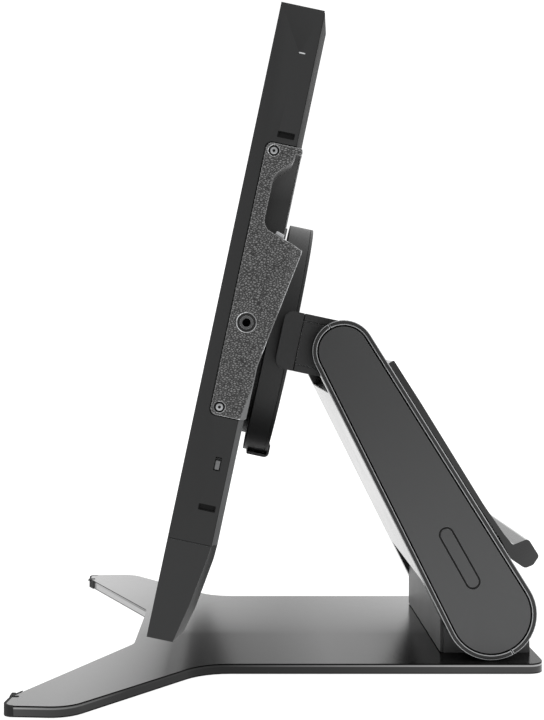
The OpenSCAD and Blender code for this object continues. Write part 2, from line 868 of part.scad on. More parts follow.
// The arm's whole casing before it is split; the brake lever's ears are added to the rear half
module arm_casing() {
    wide = arm_half_w + 1;
    long = arm_len + 60;
    difference() {
        along_x(-arm_half_w, arm_half_w) polygon(arm_outline(0));
        intersection() {
            along_x(-wide, wide) polygon(arm_outline(-shell_t));
            union() {
                block([-rim_x - 1, -60, mid_low_z + 3], [rim_x + 1, 60, mid_top_z]);
                both_sides() {
                    block([low_inner_x + 2, -60, -60], [rim_x + 1, 60, mid_low_z + 4]);
                    block([top_inner_x + 2, -60, mid_top_z - 1], [rim_x + 1, 60, long]);
                }
            }
        }
        both_sides() along_x(rim_x, wide) polygon(arm_outline(-rim_w));
        block([-low_inner_x, -60, -60], [low_inner_x, 60, mid_low_z]);
        block([-top_inner_x, -60, arm_len - 22], [top_inner_x, 60, long]);
        rod_x(-top_inner_x, top_inner_x, 0, arm_len, neck_space_r);
        rod_x(-rim_x, rim_x, 0, arm_len, tilt_shaft_r + 0.4);
        rod_x(-rim_x, rim_x, 0, 0, lower_shaft_r + 0.6);
    }
}

seam = 0.3;

module arm_front_shell() {
    color(satin_grey) in_arm() difference() {
        arm_casing();
        block([-200, -seam, -100], [200, 100, 400]);
    }
}

module arm_rear_shell() {
    color(dark_grey) in_arm() difference() {
        union() {
            difference() {
                arm_casing();
                block([-200, -100, -100], [200, seam, 400]);
            }
            both_sides() along_x(ear_x[0], ear_x[1])
                polygon(round_box([arm_r_top - 1, pin_z - 4], [pin_y + 2.2, pin_z + 4], 1.5));
        }
        rod_x(-ear_x[1] - 1, ear_x[1] + 1, pin_y, pin_z, pin_r);
    }
}

// A plain engraved pill outline near the arm's lower end
module pill_outline() {
    wide = 6;
    line = 1.7;
    low = 22;
    high = 74;
    difference() {
        polygon(round_box([-wide, low], [wide, high], wide - 0.1));
        polygon(round_box([line - wide, low + line], [wide - line, high - line], wide - line - 0.1));
    }
}

module arm_side_covers() {
    face_x = arm_half_w - 0.5;
    color(shell_grey) in_arm() both_sides() difference() {
        along_x(rim_x, face_x) polygon(arm_outline(-rim_w - 1.3));
        along_x(face_x - 0.8, face_x + 1) pill_outline();
    }
}

module brake_shoes() {
    color(steel) in_arm() both_sides() difference() {
        rod_x(97, 103, 0, 0, 28);
        rod_x(96, 104, 0, 0, clutch_r + 0.4);
        block([96, -60, -60], [104, 60, 12]);
    }
}

module lever_pin() {
    color(steel) in_arm() rod_x(-ear_x[1] - 4, ear_x[1] + 4, pin_y, pin_z, pin_r);
}

module lever_spring() {
    color(steel) in_arm() translate([-4, pin_y, pin_z]) rotate([0, 90, 0])
        coil(r = pin_r + 0.75, wire = 0.5, pitch = 1.6, turns = 5);
}

module brake_lever() {
    spring_space = 6;
    color(dark_grey) in_arm() difference() {
        union() {
            along_x(-lever_half_w, lever_half_w) polygon(rounded([
                [30.8, 200, 0.8], [33, 160, 0], [36.6, 71, 120], [39, 45, 40], [40.8, 34, 2],
                [53.4, 32.4, 3], [54.2, 16.8, 3], [47, 13.2, 4], [40.2, 14, 4], [34.6, 25, 6],
                [35, 44, 20], [32.8, 71, 100], [28.4, 160, 0], [25.9, 200, 0.8]
            ]));
            rod_x(-lever_half_w, lever_half_w, pin_y, pin_z, 2.6);
        }
        rod_x(-ear_x[1] - 5, ear_x[1] + 5, pin_y, pin_z, pin_r + bore_gap);
        both_sides() block([ear_x[0] - 0.4, pin_y - 8, pin_z - 5], [ear_x[1] + 0.4, pin_y + 8, pin_z + 8]);
        block([-spring_space, pin_y - 8, pin_z - 5], [spring_space, pin_y + 8, pin_z + 8]);
    }
}

// ---- Base ----

// Outline of the base plate; g draws the leg tips in for the rubber strips
function base_outline(g) =
    let (
        tip_x = tip_half_w - 3,
        right = [
            [plate_half_w, plate_half_d, 12], [plate_half_w, notch_y + 57, 40],
            [tip_half_w, -148.8, 24], [tip_x, g - tip_reach, 7],
            [tip_x - 23, g - tip_reach + 2.2, 4], [62.6, notch_y, 25]
        ],
        last = len(right) - 1
    )
    rounded(concat(right, [for (i = [0:last]) let (p = right[last - i]) [-p[0], p[1], p[2]]]));

module lower_shaft() {
    color(steel) difference() {
        rod_x(-plate_x[1], plate_x[1], foot_pivot_y, foot_pivot_z, lower_shaft_r);
        both_sides() rod_x(plate_x[1] - 8, plate_x[1] + 1, foot_pivot_y, foot_pivot_z, 3);
    }
    color(steel) both_sides() for (i = [0:2]) difference() {
        rod_x(97 + i * 2.2, 98.4 + i * 2.2, foot_pivot_y, foot_pivot_z, clutch_r);
        rod_x(96, 105, foot_pivot_y, foot_pivot_z, lower_shaft_r + bore_gap);
    }
}

module counterbalance_springs() {
    color(steel) both_sides() translate([14, foot_pivot_y, foot_pivot_z]) rotate([0, 90, 0])
        coil(r = 22, wire = 2.6, pitch = 8, turns = 8);
}

module pedestal() {
    r = pedestal_r;
    n = 24;
    outside = concat(
        [[pedestal_y[0], plate_top], [pedestal_y[1], plate_top]],
        [for (i = [0:n]) [foot_pivot_y + r * cos(180 * i / n), foot_pivot_z + r * sin(180 * i / n)]]
    );
    color(dark_grey) difference() {
        along_x(-pedestal_half_w, pedestal_half_w) polygon(outside);
        rod_x(-87, 87, foot_pivot_y, foot_pivot_z, r - 4);
        block([-87, pedestal_y[0] + 4, plate_top - 1], [87, pedestal_y[1] - 4, foot_pivot_z]);
        rod_x(-100, 100, foot_pivot_y, foot_pivot_z, lower_shaft_r);
        both_sides() block([pedestal_half_w - 2, pedestal_y[0] + 1.1, plate_top - 1],
            [pedestal_half_w + 1, pedestal_y[0] + 2.9, foot_pivot_z + 10]);
        block([-100, pedestal_y[0] - 1, plate_top - 1], [100, pedestal_y[0] + 1.5, plate_top + 0.8]);
    }
}

module base_plate() {
    color(dark_grey) along_z(foot_t, plate_top) polygon(base_outline(tip_strip));
}

module base_feet() {
    color(soft_black) {
        for (p = [[100, 172], [100, -60], [150, -112]])
            both_sides() translate([p[0], p[1], 0]) cylinder(h = foot_t, r = 9);
        both_sides() translate([213, -172, 0]) cylinder(h = foot_t, r = 9);
        difference() {
            along_z(foot_t, plate_top + 0.2) polygon(base_outline(0));
            along_z(0, plate_top + 1) polygon(base_outline(tip_strip));
            block([-300, 8 - tip_reach, 0], [300, 300, 50]);
        }
    }
}

cover_glass();
mid_frame();
lcd_panel();
backlight_unit();
digitizer_board();
chassis_plate();
main_board();
power_board();
heat_sinks();
fan_housings();
fan_rotor_right();
fan_rotor_left();
key_boards();
rear_cover();
lower_cover();
port_block();
port_shells();
grip_right();
grip_left();
recess_liners();
grip_screws();
accessory_inserts();
side_sockets();
status_light();
power_button();
touch_switch();
display_feet();
key_right_1();
key_right_2();
key_right_3();
key_right_4();
key_left_1();
key_left_2();
key_left_3();
key_left_4();
mount_disc();
disc_cover();
disc_screws();
rotation_lock();
yoke_plate();
swivel_spindle();
spindle_nut();
neck_shell();
neck_side_covers();
tilt_friction_discs();
tilt_shaft();
arm_plates();
arm_cross_bars();
arm_front_shell();
arm_rear_shell();
arm_side_covers();
brake_shoes();
lever_pin();
lever_spring();
brake_lever();
lower_shaft();
counterbalance_springs();
pedestal();
base_plate();
base_feet();
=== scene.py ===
"""Looks for a pen display on its stand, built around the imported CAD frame. Metres, +Z up."""
import json
import math

import bmesh
import bpy
from mathutils import Matrix, Vector


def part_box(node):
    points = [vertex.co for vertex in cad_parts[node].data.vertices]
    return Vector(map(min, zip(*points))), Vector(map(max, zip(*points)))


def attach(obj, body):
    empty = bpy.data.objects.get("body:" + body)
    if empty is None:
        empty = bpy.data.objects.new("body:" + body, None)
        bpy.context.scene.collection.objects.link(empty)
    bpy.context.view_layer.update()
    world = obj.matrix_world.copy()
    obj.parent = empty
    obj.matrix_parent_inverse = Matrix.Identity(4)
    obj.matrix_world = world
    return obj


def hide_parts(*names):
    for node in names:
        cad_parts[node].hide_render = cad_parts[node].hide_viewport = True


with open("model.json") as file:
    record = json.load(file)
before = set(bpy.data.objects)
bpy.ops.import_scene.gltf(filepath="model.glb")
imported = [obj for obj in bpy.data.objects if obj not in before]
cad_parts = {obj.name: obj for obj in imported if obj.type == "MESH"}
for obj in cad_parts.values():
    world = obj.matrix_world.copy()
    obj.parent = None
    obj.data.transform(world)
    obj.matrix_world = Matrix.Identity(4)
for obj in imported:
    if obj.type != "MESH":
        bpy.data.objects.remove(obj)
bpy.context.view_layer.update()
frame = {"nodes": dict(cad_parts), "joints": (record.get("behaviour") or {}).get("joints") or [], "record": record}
NODES = frame["nodes"]
JOINTS = {j["name"]: j for j in frame["joints"]}
MM = 0.001
PLATE_LOW, PLATE_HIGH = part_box("base_plate")
WELD_GAP = 0.002 * MM


# ---------------------------------------------------------------- camera and stage

# The camera looks along -X. Its place (m), its lens (mm) and how far its axis is off the picture's centre
CAMERA = (1.044, -0.0325, 0.243)
LENS = 61.98
SENSOR_WIDTH = 36.0
SHIFT = (0.0361, -0.0181)
FAR_END = 50

# Brightness of the surround: behind the camera, in the middle beyond the object, and to either side of that
BEHIND_CAMERA = 0.62
BEYOND = 1.04
BEYOND_SIDES = 1.75
BEYOND_MIDDLE = 0.03
BEYOND_HALF_WIDTH = 0.15


def make_camera():
    """The right-hand side view, level, with the axis off the picture's centre."""
    data = bpy.data.cameras.new("camera")
    data.lens = LENS
    data.sensor_width = SENSOR_WIDTH
    data.shift_x, data.shift_y = SHIFT
    data.clip_end = FAR_END
    cam = bpy.data.objects.new("camera", data)
    cam.location = CAMERA
    cam.rotation_euler = (math.radians(90), 0, math.radians(90))
    bpy.context.scene.collection.objects.link(cam)
    bpy.context.scene.camera = cam


def area_light(name, place, target, size, power):
    """A rectangular soft box at a place, turned to a target."""
    data = bpy.data.lights.new(name, "AREA")
    data.shape = "RECTANGLE"
    data.size, data.size_y = size
    data.energy = power
    light = bpy.data.objects.new(name, data)
    light.location = place
    light.rotation_euler = (Vector(target) - Vector(place)).to_track_quat("-Z", "Y").to_euler()
    bpy.context.scene.collection.objects.link(light)


def add_node(tree, kind, **values):
    """A shader node with its properties and inputs set by name; an underscore stands for a blank."""
    made = tree.nodes.new(kind)
    for key, value in values.items():
        if hasattr(made, key):
            setattr(made, key, value)
        else:
            made.inputs[key.replace("_", " ")].default_value = value
    return made


def make_world():
    """A white surround, brightest beyond the object's left-hand side and to either side of it."""
    world = bpy.data.worlds.new("studio")
    world.use_nodes = True
    tree = world.node_tree
    split = add_node(tree, "ShaderNodeSeparateXYZ")
    tree.links.new(add_node(tree, "ShaderNodeTexCoord").outputs["Generated"], split.inputs[0])
    wash = add_node(tree, "ShaderNodeMapRange", From_Min=-1.0, From_Max=1.0, To_Max=BEHIND_CAMERA)
    tree.links.new(split.outputs["X"], wash.inputs["Value"])
    aside = add_node(tree, "ShaderNodeMath", operation="SUBTRACT")
    aside.inputs[1].default_value = BEYOND_MIDDLE
    tree.links.new(split.outputs["Y"], aside.inputs[0])
    away = add_node(tree, "ShaderNodeMath", operation="ABSOLUTE")
    tree.links.new(aside.outputs[0], away.inputs[0])
    peak = add_node(tree, "ShaderNodeMapRange", From_Max=BEYOND_HALF_WIDTH,
                    To_Min=BEYOND, To_Max=BEYOND_SIDES)
    tree.links.new(away.outputs[0], peak.inputs["Value"])
    tree.links.new(peak.outputs["Result"], wash.inputs["To Min"])
    background = tree.nodes["Background"]
    background.inputs["Color"].default_value = (1, 1, 1, 1)
    tree.links.new(wash.outputs["Result"], background.inputs["Strength"])
    bpy.context.scene.world = world
    bpy.context.scene.view_settings.view_transform = "Standard"


def make_stage():
    """A white floor that blends into the surround, and two soft boxes."""
    mesh = bpy.data.meshes.new("floor")
    form = bmesh.new()
    bmesh.ops.create_grid(form, x_segments=2, y_segments=2, size=6)
    form.to_mesh(mesh)
    form.free()
    floor = bpy.data.objects.new("floor", mesh)
    bpy.context.scene.collection.objects.link(floor)
    paint = Shader("floor_white")
    paint.set(("Base Color", (0.3, 0.3, 0.3, 1)), ("Roughness", 0.9), ("Specular IOR Level", 0.1),
              ("Emission Color", (1, 1, 1, 1)), ("Emission Strength", 0.93))
    mesh.materials.append(paint.mat)
    area_light("key_above", place=(0.9, -0.5, 1.6), target=(0, 0, 0.2), size=(1.0, 0.6), power=6)
    area_light("back_strip", place=(0.2, 1.6, 1.2), target=(0, 0.1, 0.2), size=(1.2, 0.6), power=1.5)


# ---------------------------------------------------------------- shader building

class Shader:
    """A small builder for one Principled material."""

    def __init__(self, name):
        self.mat = bpy.data.materials.new(name)
        self.mat.use_nodes = True
        self.tree = self.mat.node_tree
        self.bsdf = self.tree.nodes["Principled BSDF"]
        self.coord = None

    def set(self, *pairs):
        for socket, value in pairs:
            self.bsdf.inputs[socket].default_value = value

    def node(self, kind, **values):
        return add_node(self.tree, kind, **values)

    def link(self, out, into):
        self.tree.links.new(out, into)

    def place(self):
        if self.coord is None:
            self.coord = self.node("ShaderNodeTexCoord").outputs["Object"]
        return self.coord

    def axes(self, vector):
        """The X, Y and Z outputs of a vector."""
        made = self.node("ShaderNodeSeparateXYZ")
        self.link(vector, made.inputs[0])
        return made.outputs

    def span(self, value, start, end):
        """0 to 1 as value goes from start to end."""
        made = self.node("ShaderNodeMapRange", From_Min=start, From_Max=end)
        self.link(value, made.inputs["Value"])
        return made.outputs["Result"]

    def noise(self, scale, detail, rough=0.5, stretch=None):
        made = self.node("ShaderNodeTexNoise", Scale=scale, Detail=detail, Roughness=rough)
        if stretch is None:
            self.link(self.place(), made.inputs["Vector"])
        else:
            mapping = self.node("ShaderNodeMapping", Scale=stretch)
            self.link(self.place(), mapping.inputs["Vector"])
            self.link(mapping.outputs["Vector"], made.inputs["Vector"])
        return made.outputs["Fac"]

    def voronoi(self, scale, feature="F1", smooth=None, stretch=(1, 1, 1), turn=0.0):
        made = self.node("ShaderNodeTexVoronoi", Scale=scale, feature=feature)
        if smooth is not None:
            made.inputs["Smoothness"].default_value = smooth
        turned = self.node("ShaderNodeMapping", Rotation=(math.radians(turn), 0, 0), Scale=stretch)
        self.link(self.place(), turned.inputs["Vector"])
        self.link(turned.outputs["Vector"], made.inputs["Vector"])
        return made.outputs["Distance"]

    def ramp(self, fac, stops):
        made = self.node("ShaderNodeValToRGB")
        self.link(fac, made.inputs["Fac"])
        ends = made.color_ramp.elements
        while len(ends) < len(stops):
            ends.new(0.5)
        for element, (at, value) in zip(ends, stops):
            element.position = at
            element.color = value if isinstance(value, tuple) else (value, value, value, 1)
        return made.outputs["Color"]

    def bump(self, height, depth, under=None):
        made = self.node("ShaderNodeBump", Distance=depth, Strength=1.0)
        self.link(height, made.inputs["Height"])
        if under is not None:
            self.link(under, made.inputs["Normal"])
        return made.outputs["Normal"]

    def mix(self, fac, a, b):
        """Blend of colours a and b by fac; each may be a socket or a grey value."""
        made = self.node("ShaderNodeMix", data_type="RGBA")
        self.link(fac, made.inputs[0])
        for value, socket in ((a, made.inputs[6]), (b, made.inputs[7])):
            if isinstance(value, (tuple, float)):
                socket.default_value = value if isinstance(value, tuple) else (value, value, value, 1)
            else:
                self.link(value, socket)
        return made.outputs[2]

    def edges(self, low=0.5, high=0.56):
        """1 along convex edges, 0 elsewhere."""
        return self.ramp(self.node("ShaderNodeNewGeometry").outputs["Pointiness"],
                         [(low, 0.0), (high, 1.0)])


# Where painted light and shade change with the place: from and to, in metres along one axis of the whole object at
# rest.
# INNER_SIDE is a place along X times the facing along X, below 0 where a side faces the middle plane
RECESS_RISE = (0.331, 0.352)
COVER_RISE = (0.03, 0.2)
CHAMFER_RISE = (0.16, 0.32)
TIPS = (-0.115, -0.185)
REAR = (-0.05, 0.13)
INNER_SIDE = (0.0, -0.03)
SHEEN_LENGTH = (-0.16, 0.12)
SHEEN_WIDTH = (-0.19, 0.03)

# Ramps of painted highlight, shade and sheen up the plate's side and along its top: how far along, and how much
# there
LIT_LINE = [(0.66, 0.0), (0.74, 1.0), (0.79, 1.0), (0.87, 0.0)]
BETWEEN_EDGES = [(0.06, 0.0), (0.12, 1.0), (0.86, 1.0), (0.92, 0.0)]
SHEEN_ALONG = [
    (0.0, 0.45), (0.14, 0.22), (0.25, 0.025), (0.39, 0.03), (0.52, 0.07),
    (0.68, 0.15), (0.79, 0.1), (0.88, 0.05), (1.0, 0.03),
]
FAR_SHEEN = 0.55


def grey(value, tint=0.0):
    """A linear grey, a little blue for a positive tint."""
    return (value * (1 - tint), value, value * (1 + tint), 1)


PLASTIC_BLUE = 0.015
METAL_BLUE = 0.02


def moulded(name, value, rough, grain=1500, depth=0.00004, wear_and_highlight=1.5, sheen=0.5, foot=None):
    """Moulded or painted surface: fine grain, a slight drift in tone, and convex edges lighter, partly as wear and
    partly as a painted highlight.

    foot makes it lighter downwards, in place of the softer light of the photograph's studio: how many times,
    and the heights where that is full and where it ends.
    """
    s = Shader(name)
    darker, lighter = grey(value * 0.95, PLASTIC_BLUE), grey(value * 1.05, PLASTIC_BLUE)
    drift = s.ramp(s.noise(9, 4), [(0.3, darker), (0.7, lighter)])
    if foot:
        times, full, end = foot
        rise = s.span(s.axes(s.place())["Z"], full, end)
        drift = s.mix(rise, grey(value * times, PLASTIC_BLUE), drift)
    # Convex edges lighter: partly wear, partly a painted highlight
    s.link(s.mix(s.edges(), drift, grey(value * wear_and_highlight, PLASTIC_BLUE)), s.bsdf.inputs["Base Color"])
    s.link(s.ramp(s.noise(34, 5), [(0.3, rough - 0.015), (0.75, rough + 0.02)]),
           s.bsdf.inputs["Roughness"])
    s.link(s.bump(s.noise(grain, 2), depth), s.bsdf.inputs["Normal"])
    s.set(("Specular IOR Level", sheen))
    return s.mat


def recess_skin(name, value, rough):
    """Smooth moulding of the finger recess, with painted light making it lighter where it opens at its top."""
    s = Shader(name)
    rise = s.span(s.axes(s.place())["Z"], *RECESS_RISE)
    s.link(s.mix(rise, grey(value), grey(value * 6)), s.bsdf.inputs["Base Color"])
    s.link(s.ramp(s.noise(60, 4), [(0.3, rough - 0.03), (0.7, rough + 0.03)]),
           s.bsdf.inputs["Roughness"])
    s.link(s.bump(s.noise(900, 2), 0.00002), s.bsdf.inputs["Normal"])
    return s.mat


def pebbled(name, value, rough):
    """Pebble grain of a rubber grip: rounded cells with fine creases between them, with painted shade in the
    creases and a painted highlight on the cell tops and the convex edges.
    """
    s = Shader(name)
    grain = {"scale": 560, "stretch": (1, 1, 1.7), "turn": 40}
    cells = s.voronoi(feature="SMOOTH_F1", smooth=0.35, **grain)
    creases = s.ramp(s.voronoi(feature="DISTANCE_TO_EDGE", **grain), [(0.05, 0.0), (0.26, 1.0)])
    # Painted shade in the creases, painted highlight on the cell tops
    tone = s.mix(creases, grey(value * 0.15), grey(value * 3))
    # Convex edges lighter: a painted highlight
    s.link(s.mix(s.edges(0.51, 0.57), tone, grey(value * 5)), s.bsdf.inputs["Base Color"])
    s.link(s.ramp(cells, [(0.1, rough - 0.06), (0.6, rough + 0.1)]), s.bsdf.inputs["Roughness"])
    swell = s.bump(s.noise(240, 2), 0.0003)
    s.link(s.bump(creases, 0.0004, swell), s.bsdf.inputs["Normal"])
    return s.mat


def brushed(name, value, rough):
    """Machined or drawn metal with streaks along X."""
    s = Shader(name)
    streaks = s.noise(60, 4, 0.6, (1, 40, 40))
    s.link(s.ramp(streaks, [(0.25, grey(value * 0.8, METAL_BLUE)), (0.75, grey(value * 1.15, METAL_BLUE))]),
           s.bsdf.inputs["Base Color"])
    s.link(s.ramp(streaks, [(0.2, rough - 0.07), (0.8, rough + 0.1)]), s.bsdf.inputs["Roughness"])
    s.link(s.bump(streaks, 0.00003), s.bsdf.inputs["Normal"])
    s.set(("Metallic", 1.0))
    return s.mat


def satin_coat(name, value, rough):
    """Smooth powder coat with faint metal flakes, glossy at a low angle."""
    s = Shader(name)
    flakes = s.ramp(s.voronoi(2600), [(0.1, grey(value * 1.5, METAL_BLUE)), (0.5, grey(value, METAL_BLUE))])
    # Convex edges lighter: partly wear, partly a painted highlight
    s.link(s.mix(s.edges(), flakes, grey(value * 2, METAL_BLUE)), s.bsdf.inputs["Base Color"])
    s.link(s.ramp(s.noise(26, 3), [(0.3, rough - 0.01), (0.7, rough + 0.015)]),
           s.bsdf.inputs["Roughness"])
    s.link(s.bump(s.noise(2400, 1), 0.000004), s.bsdf.inputs["Normal"])
    return s.mat


def plate_flank(s, place, facing, value):
    """Colour of the plate's side, painted light and shade: lighter at the tips, the rear and the inner flanks,
    with a painted highlight line, and painted shade along its top and bottom edges.
    """
    height = s.span(place["Z"], PLATE_LOW[2], PLATE_HIGH[2])
    tip = s.span(place["Y"], *TIPS)
    rear = s.span(place["Y"], *REAR)
    inward = s.node("ShaderNodeMath", operation="MULTIPLY")
    s.link(place["X"], inward.inputs[0])
    s.link(facing["X"], inward.inputs[1])
    inner = s.span(inward.outputs[0], *INNER_SIDE)
    flank = s.mix(tip, grey(value * 0.4), grey(value * 4))
    flank = s.mix(rear, flank, grey(value * 4))
    flank = s.mix(inner, flank, grey(0.35))
    # Painted highlight line, lighter at the tips and the rear
    line = s.mix(tip, grey(value), grey(0.3))
    line = s.mix(rear, line, grey(0.42))
    flank = s.mix(s.ramp(height, LIT_LINE), flank, line)
    # Painted shade along the plate's top and bottom edges
    shade = s.ramp(height, BETWEEN_EDGES)
    return s.mix(shade, grey(0.0005), flank), shade


def plate_coat(name, value, rough):
    """The plate's coat, with fine streaks from front to back; a painted highlight line and lines of painted shade
    round its side.

    The tones and the sheen that change with the place stand for what the photograph's studio reflects in
    the plate, which the plain surround doesn't show. They are paint and don't follow the viewer.
    """
    s = Shader(name)
    place = s.axes(s.place())
    facing = s.axes(s.node("ShaderNodeNewGeometry").outputs["Normal"])
    top = s.ramp(facing["Z"], [(0.85, 0.0), (0.95, 1.0)])
    flank, shade = plate_flank(s, place, facing, value)
    streaks = s.noise(60, 4, 0.6, (30, 1, 1))
    face = s.ramp(streaks, [(0.3, grey(value * 0.6)), (0.7, grey(value * 1.5))])
    s.link(s.mix(top, flank, face), s.bsdf.inputs["Base Color"])
    sheen = s.ramp(s.span(place["Y"], *SHEEN_LENGTH), SHEEN_ALONG)
    sheen = s.mix(s.span(place["X"], *SHEEN_WIDTH), FAR_SHEEN, sheen)
    s.link(s.mix(top, s.mix(shade, 0.02, 0.25), sheen), s.bsdf.inputs["Specular IOR Level"])
    s.link(s.ramp(streaks, [(0.3, rough - 0.015), (0.7, rough + 0.02)]), s.bsdf.inputs["Roughness"])
    s.link(s.bump(streaks, 0.000006), s.bsdf.inputs["Normal"])
    return s.mat


def screen_glass(name, value, gloss):
    """Etched dark cover glass with a faint sparkle: a black border or the dark active area."""
    s = Shader(name)
    s.link(s.ramp(s.noise(5, 2), [(0.3, grey(value, 0.2)), (0.7, grey(value * 1.4, 0.2))]),
           s.bsdf.inputs["Base Color"])
    s.link(s.bump(s.noise(3000, 1), 0.00001), s.bsdf.inputs["Normal"])
    s.link(s.ramp(s.noise(40, 3), [(0.3, gloss), (0.7, gloss + 0.06)]), s.bsdf.inputs["Roughness"])
    s.set(("Coat Weight", 0.3), ("Coat Roughness", 0.15))
    return s.mat


def circuit(name):
    """Solder mask with copper runs showing through."""
    s = Shader(name)
    runs = s.ramp(s.voronoi(260, "DISTANCE_TO_EDGE"), [(0.0, 1.0), (0.06, 0.0)])
    s.link(s.mix(runs, (0.01, 0.09, 0.04, 1), (0.05, 0.2, 0.09, 1)), s.bsdf.inputs["Base Color"])
    s.link(s.bump(runs, 0.00003), s.bsdf.inputs["Normal"])
    s.link(s.ramp(s.noise(80, 2), [(0.3, 0.3), (0.7, 0.42)]), s.bsdf.inputs["Roughness"])
    return s.mat


MATERIALS = {
    "screen_glass": screen_glass("screen_glass", 0.003, 0.3),
    "housing": moulded("housing", 0.013, 0.46, sheen=0.3),
    "panel": screen_glass("panel", 0.016, 0.18),
    "diffuser": moulded("diffuser", 0.7, 0.6),
    "board": circuit("board"),
    "chassis": brushed("chassis", 0.6, 0.4),
    "fan_plastic": moulded("fan_plastic", 0.015, 0.45),
    "grip_skin": pebbled("grip_skin", 0.055, 0.5),
    "liner": recess_skin("liner", 0.012, 0.36),
    "socket": moulded("socket", 0.002, 0.6, sheen=0.2),
    "connector": brushed("connector", 0.6, 0.3),
    "fastener": brushed("fastener", 0.4, 0.35),
    "light": moulded("light", 0.5, 0.35, wear_and_highlight=1.0),
    "switch_metal": moulded("switch_metal", 0.09, 0.4),
    "key": moulded("key", 0.09, 0.32),
    "foot_rubber": moulded("foot_rubber", 0.004, 0.85, 700, 0.0001),
    "disc": moulded("disc", 0.014, 0.48, 1100, 0.00006),
    "lock_plastic": moulded("lock_plastic", 0.008, 0.45),
    "yoke": moulded("yoke", 0.024, 0.5, 1100, 0.00006),
    "neck": moulded("neck", 0.024, 0.5),
    "shaft": brushed("shaft", 0.55, 0.25),
    "arm_structure": brushed("arm_structure", 0.3, 0.5),
    "arm_front": satin_coat("arm_front", 0.025, 0.17),
    "arm_rear": moulded("arm_rear", 0.022, 0.4),
    # Arm covers: painted light, lighter downwards
    "arm_cover": moulded("arm_cover", 0.036, 0.48, foot=(2, *COVER_RISE)),
    "lever": satin_coat("lever", 0.009, 0.18),
    "spring": brushed("spring", 0.35, 0.35),
    "pedestal": moulded("pedestal", 0.055, 0.45, 1100, 0.00006),
    "base": plate_coat("base", 0.012, 0.19),
}

# Paint for edges, seams and other small faces of the CAD nodes and grips: painted highlights along edges, painted
# shade in grooves and seams, a chamfer coat with painted light, and the own colours of rims, rings and smooth
# rubber
# Painted highlights for the rounded edges, in three strengths
EDGE_HIGHLIGHT = moulded("edge_highlight", 0.32, 0.4)
EDGE_HIGHLIGHT_DIM = moulded("edge_highlight_dim", 0.12, 0.4)
EDGE_HIGHLIGHT_BRIGHT = moulded("edge_highlight_bright", 0.65, 0.4)
RIM = moulded("arm_rim", 0.008, 0.5)
# Chamfer coat: painted light, lighter downwards
CHAMFER = moulded("housing_chamfer", 0.009, 0.5, sheen=0.15, foot=(14, *CHAMFER_RISE))
INSERT_RING = moulded("insert_ring", 0.04, 0.5)
# Painted shade for grooves, seams, sockets and hollows
GROOVE_SHADE = moulded("painted_groove_shade", 0.002, 0.8)
SMOOTH_RUBBER = moulded("smooth_rubber", 0.1, 0.5)


# ---------------------------------------------------------------- CAD nodes that stay

def smooth_by_angle(limit):
    """A node group that keeps edges sharper than limit (degrees) hard and smooths the others."""
    group = bpy.data.node_groups.new("smooth_by_angle", "GeometryNodeTree")
    group.interface.new_socket("Geometry", in_out="INPUT", socket_type="NodeSocketGeometry")
    group.interface.new_socket("Geometry", in_out="OUTPUT", socket_type="NodeSocketGeometry")
    start = group.nodes.new("NodeGroupInput")
    end = group.nodes.new("NodeGroupOutput")
    angle = group.nodes.new("GeometryNodeInputMeshEdgeAngle")
    gentle = group.nodes.new("FunctionNodeCompare")
    gentle.operation = "LESS_THAN"
    gentle.inputs[1].default_value = math.radians(limit)
    faces = group.nodes.new("GeometryNodeSetShadeSmooth")
    edges = group.nodes.new("GeometryNodeSetShadeSmooth")
    edges.domain = "EDGE"
    group.links.new(angle.outputs["Unsigned Angle"], gentle.inputs[0])
    group.links.new(start.outputs[0], faces.inputs["Geometry"])
    group.links.new(faces.outputs[0], edges.inputs["Geometry"])
    group.links.new(gentle.outputs[0], edges.inputs["Shade Smooth"])
    group.links.new(edges.outputs[0], end.inputs[0])
    return group


# Edges sharper than these angles, in degrees, are rounded, and stay hard in the shading
ROUNDED_ANGLE = 32
HARD_ANGLE = 38
SMOOTH = smooth_by_angle(HARD_ANGLE)


def soften(piece, bevel, segments, edge=None):
    """Rounds a piece's hard edges, in the edge material if given, and keeps its flat faces flat."""
    if bevel:
        rounding = piece.modifiers.new("edges", "BEVEL")
        rounding.width = bevel
        rounding.segments = segments
        rounding.limit_method = "ANGLE"
        rounding.angle_limit = math.radians(ROUNDED_ANGLE)
        if edge:
            piece.data.materials.append(edge)
            rounding.material = len(piece.data.materials) - 1
    piece.modifiers.new("smooth", "NODES").node_group = SMOOTH
    normals = piece.modifiers.new("normals", "WEIGHTED_NORMAL")
    normals.keep_sharp = True
    normals.weight = 100


def finish_node(node, slot, bevel, segments, edge):
    """Gives a CAD node its material and softly rounded edges."""
    piece = NODES[node]
    piece.data.materials.clear()
    piece.data.materials.append(MATERIALS[slot])
    for polygon in piece.data.polygons:
        polygon.material_index = 0
    piece.modifiers.new("weld", "WELD").merge_threshold = WELD_GAP
    soften(piece, bevel, segments, edge)


